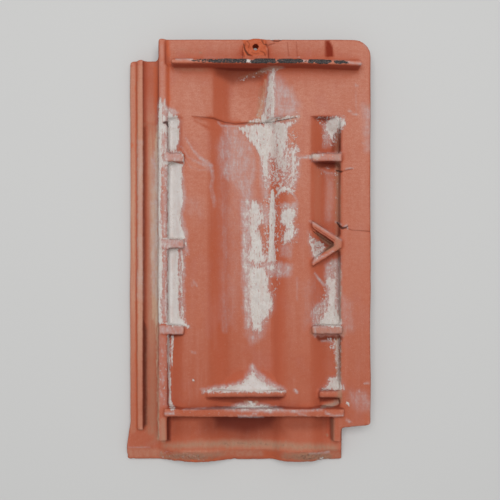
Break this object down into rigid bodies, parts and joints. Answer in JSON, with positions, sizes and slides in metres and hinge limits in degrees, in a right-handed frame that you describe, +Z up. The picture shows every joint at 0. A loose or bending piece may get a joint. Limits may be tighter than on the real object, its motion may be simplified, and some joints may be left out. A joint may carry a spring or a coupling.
{
  "type": "clay roof tile",
  "caption": "Pressed interlocking clay roof tile lying on its weather face, with ribbed back, side and head laps, batten nib, nail boss, webs, tail bar and waved tail lip.",
  "frame": {"origin": "centre of the bounding box, on the floor that the weather face lies on", "axes": "+X from the overlap side to the underlap side, +Y from the tail to the head, +Z up from the weather face to the ribbed back"},
  "size_m": [0.2414, 0.415, 0.042],
  "materials": {
    "fired_clay": "matt unglazed terracotta, weathered, with lime deposits"
  },
  "bodies": {
    "root": {"roof_tile": "fired_clay"}
  },
  "joints": []
}
